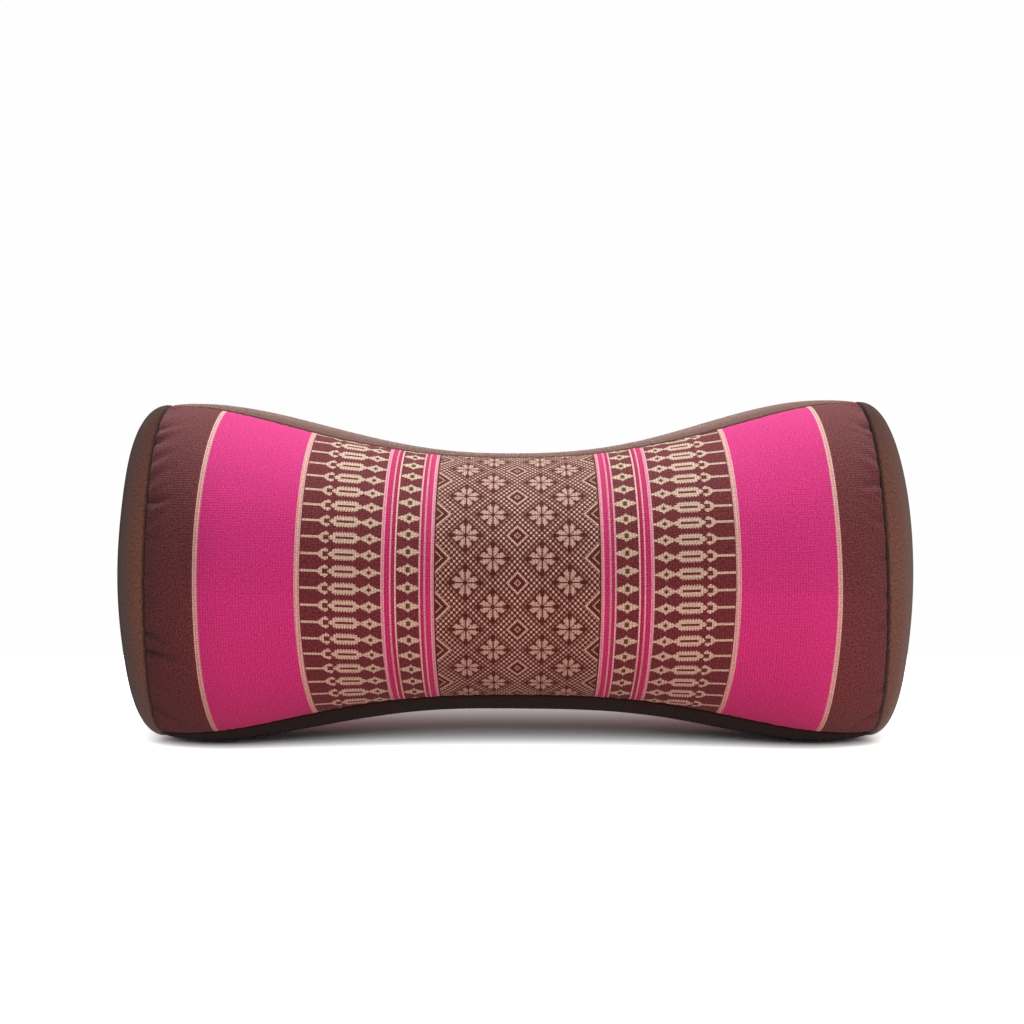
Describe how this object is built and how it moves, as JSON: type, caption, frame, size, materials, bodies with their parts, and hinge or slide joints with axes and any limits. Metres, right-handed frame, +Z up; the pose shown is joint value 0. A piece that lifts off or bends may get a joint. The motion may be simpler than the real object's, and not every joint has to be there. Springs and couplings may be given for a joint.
{
  "type": "bone-shaped neck pillow",
  "caption": "Stuffed bone-shaped neck pillow with a narrow waist, patterned front and back panels, plain gussets and round end caps.",
  "frame": {"origin": "on the surface that the pillow stands on, below the middle of its box", "axes": "+X along the pillow, -Y out of the front panel, +Z up"},
  "size_m": [0.3938, 0.1706, 0.1753],
  "materials": {
    "pattern_cloth": "woven cotton with a supplementary weft pattern, matt",
    "plain_cotton": "plain woven cotton, matt"
  },
  "bodies": {
    "root": {"front_panel": "pattern_cloth", "back_panel": "pattern_cloth", "top_gusset": "plain_cotton", "bottom_gusset": "plain_cotton", "left_cap": "plain_cotton", "right_cap": "plain_cotton"}
  },
  "joints": []
}
